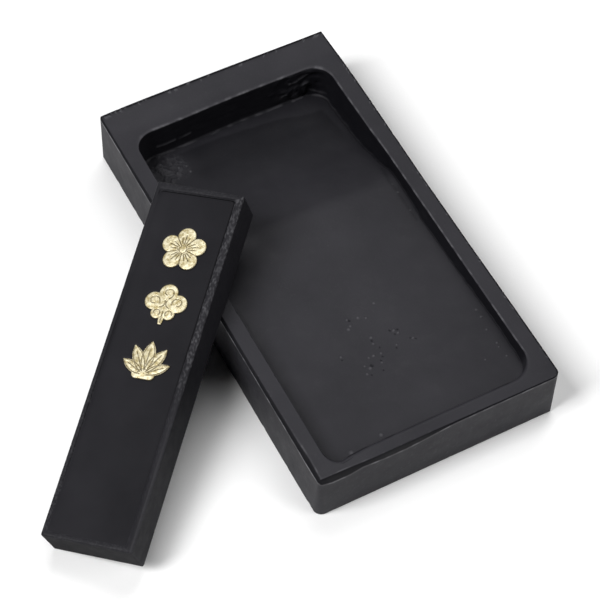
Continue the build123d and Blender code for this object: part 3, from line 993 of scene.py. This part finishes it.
def stick_outline(inset, front_share=1.0):
    """The stick's outline in its own frame, moved in by inset, between its back and its front."""
    radii = np.array(STICK_BACK_RADII) * (1 - front_share) + np.array(STICK_FRONT_RADII) * front_share
    radii -= min(inset, radii.min() / 2)
    points, inwards = outline(-STICK_WIDTH / 2 + inset, STICK_WIDTH / 2 - inset,
                              inset, STICK_LENGTH - inset, radii, STICK_STEPS)
    points[:, 1] += HEAD_SKEW * (0.5 - points[:, 0] / STICK_WIDTH) * ease(HEAD_END, points[:, 1])
    return points, inwards


def panel_outline(inset):
    """The outline of the sunk panel, moved in by inset."""
    left = -STICK_WIDTH / 2 + LEFT_BORDER_WIDTH + inset
    right = STICK_WIDTH / 2 - RIGHT_BORDER_WIDTH - inset
    end = END_BORDER_WIDTH + inset
    return outline(left, right, end, STICK_LENGTH - end, PANEL_RADII, STICK_STEPS)[0]


def stick_rings():
    """Rings from the stick's back, up its sides and over its border to its panel, each with its zone."""
    radius = STICK_EDGE_RADIUS
    rings = []
    for angle in np.radians([0, *LIP_ANGLES]):
        flat = stick_outline(radius * (1 - math.sin(angle)), 0.0)[0]
        rings.append(("back_edge", joined(flat, radius * (1 - math.cos(angle)))))
    for share in np.linspace(0, 1, 14)[1:]:
        height = radius + (STICK_THICKNESS - 2 * radius) * share
        rings.append(("side", joined(stick_outline(0.0, share)[0], height)))
    for angle in np.radians(ROUND_ANGLES):
        crest = stick_outline(radius * (1 - math.cos(angle)))[0]
        rings.append(("front_edge", joined(crest, STICK_THICKNESS - radius * (1 - math.sin(angle)))))
    across = panel_outline(0.0) - crest
    for share, drop in BORDER_PROFILE:
        rings.append(("border", joined(moved(crest, across, share), STICK_THICKNESS - drop)))
    for zone, inset, drop in PANEL_PROFILE:
        rings.append((zone, joined(panel_outline(inset), STICK_THICKNESS - drop)))
    return rings


def worn_flat_share(points):
    """How far the border is worn level with the panel: near the foot, and along the left near the head."""
    x, y = points[:, 0], points[:, 1]
    left = ease(LEFT_BORDER, x) * ease(WORN_LEFT_START, y) * ease(WORN_LEFT_END, y)
    return np.maximum(0.8 * ease(WORN_FOOT, y), 0.85 * left)


def stick_masks(points, zones, inwards):
    """Where handling has worn the ink's border pale, with painted highlights on it, and where painted
    shade makes the ink darkest.
    """
    x, y = points[:, 0], points[:, 1]
    near, right, far, left = facing_shares(inwards)
    streaked = points.copy()
    streaked[right > left + far + near, 1] *= 0.5
    speckle = ease((0.0, 0.25), grain(streaked, 0.42, 23))
    speckle = speckle * (0.55 + 0.45 * ease((-0.1, 0.2), grain(points, 2.5, 26)))
    upper = ease(UPPER_STICK, y)
    # Worn specks on the border, with painted highlights, brightest along the right border's upper part
    wear_and_highlight = right * (0.02 + 0.05 * upper + (0.08 + 0.65 * upper) * speckle)
    wear_and_highlight = wear_and_highlight + left * (0.03 + 0.3 * speckle * (1 - upper))
    wear_and_highlight = wear_and_highlight + far * (0.03 + 0.16 * speckle) + near * (0.04 + 0.2 * speckle)
    stain_and_shade = np.zeros(len(points))
    front_edge = zones == "front_edge"
    side = np.isin(zones, ["side", "back_edge"])
    head_side = ease(HEAD_SIDE, y)
    # Painted shade on the right side, and on the foot's end
    right_dark = 0.12 + 0.15 * ease(DARK_SIDE_START, y) * (1 - head_side) - 0.12 * head_side
    stain_and_shade[side] = (0.5 * near + right * right_dark)[side]
    groove = zones == "groove"
    panel = groove | (zones == "panel")
    # Painted shade across the panel's right half and in its groove
    stain_and_shade[panel] = 0.2 * ease(PANEL_MIDDLE, x[panel])
    groove_shade = (0.35 + 0.25 * right) * upper * (1 - left * ease(WORN_LEFT_START, y)) + 0.6 * far
    stain_and_shade[groove] += groove_shade[groove]
    foot_edge = right * ease(FOOT_RIGHT, y) * front_edge
    foot_corner = 4 * near * right * (side | front_edge)
    wear_and_highlight = np.where(front_edge | (zones == "border"), wear_and_highlight, 0) + 0.2 * np.maximum(foot_corner, foot_edge)
    return {"wear_and_highlight": np.clip(wear_and_highlight, 0, 1), "stain_and_shade": np.clip(stain_and_shade, 0, 1)}


def make_stick(material, marks):
    """The stick as one closed mesh, with a crowned border round its panel and a moat round each mark."""
    rings = stick_rings()
    last_mark = STICK_LENGTH - FIRST_MARK_FROM_HEAD - 2 * MARK_PITCH
    patches = [(MARK_OFFSET, last_mark + step * MARK_PITCH, MARK_PATCH_RADIUS, MARK_GRID)
               for step in range(3)]
    inner = fill_points(rings[-1][1][:, :2], PANEL_GRID, patches)
    inside = ("panel", joined(inner, STICK_THICKNESS - PANEL_DEPTH))
    points, zones, inwards, faces = filled_stack(rings, inside, stick_outline(0.0)[1])
    wavy = grain(points, 9.0, 20)
    worn = grain(points, 1.2, 21)
    pitted = ease((0.1, 0.4), grain(points, 0.7, 24))
    border = np.isin(zones, ["front_edge", "border"])
    sunk = np.isin(zones, ["border", "groove", "panel"])
    panel = zones == "panel"
    _, right, far, _ = facing_shares(inwards)
    rough = 0.35 + 0.65 * np.maximum(right, far) * ease(PITTED_BEAD, points[:, 1])
    below_crest = np.maximum(STICK_THICKNESS - WORN_DEPTH - points[:, 2], 0)
    pits = 0.03 * np.abs(wavy) + rough * (0.08 * np.clip(worn, 0, 1) + 0.07 * pitted)
    shaped = points.copy()
    shaped[:, 2] += np.where(sunk, worn_flat_share(points) * below_crest, 0)
    shaped[:, 2] -= np.where(border, pits, 0)
    shaped[:, 2] += np.where(panel, 0.025 * wavy + 0.004 * worn, 0)
    shaped[:, :2] = moved(shaped[:, :2], inwards, np.where(zones == "side", 0.05 * np.abs(wavy), 0))
    moat = np.zeros(len(points))
    for centre, reach in marks:
        moat[panel] = np.maximum(moat[panel], moat_depth(points[panel][:, :2] - centre, reach))
    shaped[:, 2] -= MOAT_DEPTH * moat
    masks = stick_masks(points, zones, inwards)
    return add_mesh("ink_stick_body", shaped, faces, material, masks, stick_place())


def moat_depth(flat, reach):
    """1 along a mark's outline, falling to 0 a little way outside it."""
    outside = np.hypot(*flat.T) - reach(np.arctan2(flat[:, 1], flat[:, 0]))
    return np.exp(-(np.maximum(outside, 0) / MOAT_WIDTH) ** 2) * (outside > -MOAT_INSIDE)


def disc_reach(angles, x, y, radius):
    """How far a ray from the origin goes before it leaves a disc, or 0 where it misses."""
    across = x * np.sin(angles) - y * np.cos(angles)
    along = x * np.cos(angles) + y * np.sin(angles)
    inside = radius ** 2 - across ** 2
    return np.where(inside > 0, np.maximum(along + np.sqrt(np.maximum(inside, 0)), 0), 0)


def polygon_reach(angles, corners):
    """How far a ray from the origin goes before it leaves a polygon for the last time."""
    ray_x, ray_y = np.cos(angles), np.sin(angles)
    reach = np.zeros_like(angles)
    for (x1, y1), (x2, y2) in zip(corners, corners[1:] + corners[:1]):
        edge_x, edge_y = x2 - x1, y2 - y1
        cross = ray_x * edge_y - ray_y * edge_x
        cross = np.where(np.abs(cross) < TINY, TINY, cross)
        distance = (x1 * edge_y - y1 * edge_x) / cross
        share = (x1 * ray_y - y1 * ray_x) / cross
        reach = np.where((share >= 0) & (share <= 1) & (distance > reach), distance, reach)
    return reach


def petal_reach(angles, turn, length, width):
    """How far a ray from a pointed petal's root goes inside that petal."""
    sagitta = width / 2
    radius = (length ** 2 / 4 + sagitta ** 2) / (2 * sagitta)
    opening = math.asin(length / 2 / radius)
    off = np.abs((angles - turn + math.pi) % (2 * math.pi) - math.pi)
    return np.where(off < opening, 2 * radius * np.sin(np.maximum(opening - off, 0)), 0)


BLOSSOM_TURNS = [math.radians(90 + 72 * petal) for petal in range(5)]
BLOSSOM_HEART = 0.17
BLOSSOM_PETAL = 0.195
BLOSSOM_PETAL_REACH = 0.3


def blossom_reach(angles):
    """The plum blossom's outline."""
    reach = np.full_like(angles, BLOSSOM_HEART * MARK_SIZE)
    for turn in BLOSSOM_TURNS:
        x, y = ways(turn) * BLOSSOM_PETAL_REACH * MARK_SIZE
        reach = np.maximum(reach, disc_reach(angles, x, y, BLOSSOM_PETAL * MARK_SIZE))
    return reach


CLOUD_LOBES = [(0.0, 0.25, 0.2), (0.26, 0.04, 0.2), (-0.26, 0.04, 0.2), (0.0, 0.02, 0.19),
               (0.13, -0.21, 0.13), (-0.13, -0.21, 0.13), (0.0, -0.15, 0.12)]
CLOUD_TAIL = [(-0.09, -0.15), (0.09, -0.15), (0.035, -0.46), (-0.035, -0.46)]


def cloud_reach(angles):
    """The cloud's outline."""
    reach = polygon_reach(angles, [(x * MARK_SIZE, y * MARK_SIZE) for x, y in CLOUD_TAIL])
    for x, y, radius in CLOUD_LOBES:
        reach = np.maximum(reach, disc_reach(angles, x * MARK_SIZE, y * MARK_SIZE, radius * MARK_SIZE))
    return reach


LOTUS_PETALS = [(0.0, 0.74, 0.3), (30.0, 0.7, 0.26), (-30.0, 0.7, 0.26), (62.0, 0.58, 0.22),
                (-62.0, 0.58, 0.22)]
LOTUS_ROOT = -0.32
LOTUS_SEAT = (0.25, 0.1)


def lotus_reach(angles):
    """The lotus's outline, about its root."""
    half_width, half_height = LOTUS_SEAT[0] * MARK_SIZE, LOTUS_SEAT[1] * MARK_SIZE
    core = half_width - half_height
    corners = [(-core, -half_height), (core, -half_height), (core, half_height), (-core, half_height)]
    reach = polygon_reach(angles, corners)
    for x in (-core, core):
        reach = np.maximum(reach, disc_reach(angles, x, 0.0, half_height))
    for turn, length, width in LOTUS_PETALS:
        petal = petal_reach(angles, math.radians(90 + turn), length * MARK_SIZE, width * MARK_SIZE)
        reach = np.maximum(reach, petal)
    return reach


def arc_line(x, y, radius, start, end, end_radius=None, steps=20):
    """Points along an arc or spiral about (x, y), with lengths in mark sizes and angles in degrees."""
    angles = np.radians(np.linspace(start, end, steps))
    radii = np.linspace(radius, end_radius or radius, steps)
    return moved(np.array([x, y]), ways(angles), radii) * MARK_SIZE


def blossom_lines():
    """Engraved lines of the blossom: between its petals, round its heart, and its stamens."""
    lines = [arc_line(0, 0, 0.085, 0, 360)]
    for turn in BLOSSOM_TURNS:
        lines.append(np.outer((0.1, 0.34), ways(turn + math.radians(36))) * MARK_SIZE)
        for swing, length in ((-16, 0.27), (0, 0.32), (16, 0.27)):
            lines.append(np.outer((0.12, length), ways(turn + math.radians(swing))) * MARK_SIZE)
    return lines


def cloud_lines():
    """Engraved lines of the cloud: a scroll in each lobe, and a vein down the tail."""
    lines = [arc_line(0, 0.25, 0.135, -70, 250, 0.05, 30)]
    for side in (-1, 1):
        lines.append(arc_line(side * 0.26, 0.04, 0.135, 90 + side * 110, 90 - side * 200, 0.045, 30))
        lines.append(arc_line(side * 0.13, -0.21, 0.07, 90 - side * 100, 90 + side * 130))
        lines.append(arc_line(side * 0.11, 0.02, 0.1, 90 + side * 60, 90 + side * 170))
    lines.append(np.array([(0, -0.16), (0, -0.42)]) * MARK_SIZE)
    return lines


def lotus_lines():
    """Engraved lines of the lotus, about its root: each petal's edges and vein, and the seat's rim."""
    lines = []
    for turn, length, width in LOTUS_PETALS:
        angle = math.radians(turn)
        spin = np.array([ways(angle), ways(angle + math.pi / 2)])
        share = np.linspace(0.12, 0.93, 18)
        bulge = width * 2 * share * (1 - share) * 0.82
        petal = [np.column_stack([side * bulge, share * length]) for side in (-1, 1)]
        petal.append(np.array([(0, 0.3 * length), (0, 0.78 * length)]))
        lines += [line * MARK_SIZE @ spin for line in petal]
    lines.append(arc_line(0, 0, 0.12, 15, 165))
    return lines


def make_mark(name, reach, lines, centre, material):
    """One gilt mark: a low domed relief inside its outline, with engraved lines."""
    angles = np.linspace(-math.pi, math.pi, MARK_STEPS, endpoint=False)
    edge = ways(angles) * reach(angles)[:, None]
    shares = np.linspace(0, 1, MARK_RINGS + 1)[1:]
    flat = np.concatenate([edge * share for share in shares] + [np.zeros((1, 2))])
    to_edge = np.min(np.linalg.norm(flat[:, None] - edge[None, ::2], axis=2), axis=1)
    rounded = np.sqrt(1 - (1 - np.clip(to_edge / MARK_EDGE, 0, 1)) ** 2)
    off_line = np.min([line_distance(flat, line) for line in lines], axis=0)
    groove = np.exp(-(off_line / GROOVE_HALF_WIDTH) ** 2)
    height = (MARK_HEIGHT - GROOVE_DEPTH * groove) * rounded + MARK_DOME * ease(DOME_RISE, to_edge)
    top = joined(flat, height + 0.03 * grain(joined(flat, 0.0), 0.9, 30))
    dark = np.maximum(groove * 0.9, 0.55 * (1 - np.clip(to_edge / DARK_EDGE, 0, 1)))
    skirt = np.concatenate([joined(edge, -depth) for depth in SKIRT_DEPTHS])
    points = np.concatenate([top[:-1], skirt, top[-1:]]) + (*centre, STICK_THICKNESS - PANEL_DEPTH)
    masks = {"groove": np.concatenate([dark[:-1], np.ones(len(skirt)), dark[-1:]])}
    last = len(points) - 1
    faces = ring_faces(MARK_RINGS + len(SKIRT_DEPTHS), MARK_STEPS)
    faces += [(last, (step + 1) % MARK_STEPS, step) for step in range(MARK_STEPS)]
    faces.append(tuple(range(last - MARK_STEPS, last)))
    return add_mesh(name, points, faces, material, masks, stick_place())


def make_marks(material):
    """The three gilt marks, with what the stick needs to know of their outlines."""
    root = np.array([0.0, LOTUS_ROOT * MARK_SIZE])
    designs = [("gilt_plum_blossom", blossom_reach, blossom_lines(), np.zeros(2)),
               ("gilt_cloud", cloud_reach, cloud_lines(), np.zeros(2)),
               ("gilt_lotus", lotus_reach, lotus_lines(), root)]
    outlines = []
    for index, (node, reach, lines, shift) in enumerate(designs):
        middle = np.array([MARK_OFFSET, STICK_LENGTH - FIRST_MARK_FROM_HEAD - index * MARK_PITCH])
        centre = middle + shift
        piece = make_mark(node + "_relief", reach, lines, centre, material)
        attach(piece, "stick")
        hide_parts(node)
        outlines.append((centre, reach))
    return outlines


def direction(azimuth, elevation):
    """The unit vector at an azimuth and an elevation in degrees."""
    rise = math.radians(elevation)
    return Vector((*ways(math.radians(azimuth)) * math.cos(rise), math.sin(rise)))


def add_camera():
    """The camera at the photograph's viewpoint."""
    back = direction(CAMERA_AZIMUTH - 90, CAMERA_ELEVATION)
    level = direction(CAMERA_AZIMUTH, 0)
    rise = back.cross(level)
    roll = math.radians(CAMERA_ROLL)
    right = level * math.cos(roll) + rise * math.sin(roll)
    up = rise * math.cos(roll) - level * math.sin(roll)
    data = bpy.data.cameras.new("camera")
    data.lens = CAMERA_LENS
    data.sensor_width = SENSOR_WIDTH
    data.clip_start = CLIP_START
    camera = add_object("camera", data)
    spin = Matrix((right, up, back)).transposed().to_4x4()
    camera.matrix_world = Matrix.Translation((Vector(CAMERA_TARGET) + back * CAMERA_DISTANCE) * MM) @ spin
    bpy.context.scene.camera = camera


def add_softbox(name, azimuth, elevation, width, height, share):
    """A square-on soft light aimed at the stone, as bright as its share of the table's light asks."""
    way = direction(azimuth, elevation)
    data = bpy.data.lights.new(name, "AREA")
    data.shape = "RECTANGLE"
    data.size = width
    data.size_y = height
    table_light = math.pi * TABLE_BRIGHTNESS / TABLE_REFLECTANCE
    data.energy = math.pi * SOFTBOX_DISTANCE ** 2 * table_light * share / way.z
    light = add_object(name, data)
    light.location = way * SOFTBOX_DISTANCE
    light.rotation_mode = "QUATERNION"
    light.rotation_quaternion = way.to_track_quat("Z", "Y")


def add_world():
    """No light from the surroundings, and a pale backdrop behind the table's edge."""
    world = bpy.data.worlds.new("studio")
    world.use_nodes = True
    tree = world.node_tree
    tree.nodes.clear()
    dark = add_node(tree, "ShaderNodeBackground", {"Color": WHITE, "Strength": 0.0}).outputs[0]
    pale = add_node(tree, "ShaderNodeBackground", {"Color": WHITE, "Strength": 1.0}).outputs[0]
    seen = add_node(tree, "ShaderNodeLightPath").outputs["Is Camera Ray"]
    mix = add_node(tree, "ShaderNodeMixShader", {0: seen, 1: dark, 2: pale}).outputs[0]
    add_node(tree, "ShaderNodeOutputWorld", {"Surface": mix})
    bpy.context.scene.world = world


def add_table(material):
    """The pale table top."""
    shape = bmesh.new()
    bmesh.ops.create_circle(shape, cap_ends=True, segments=96, radius=TABLE_RADIUS)
    mesh = bpy.data.meshes.new("table_top")
    shape.to_mesh(mesh)
    shape.free()
    mesh.materials.append(material)
    add_object("table_top", mesh)


bpy.context.scene.view_settings.view_transform = "Standard"
add_camera()
add_world()
for softbox in SOFTBOXES:
    add_softbox(*softbox)
add_table(floor_material())

stone = make_stone(slate_material())
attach(stone, "stone")
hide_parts("stone_slab")

mark_outlines = make_marks(gilt_material())
stick = make_stick(ink_material(), mark_outlines)
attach(stick, "stick")
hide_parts("ink_stick")
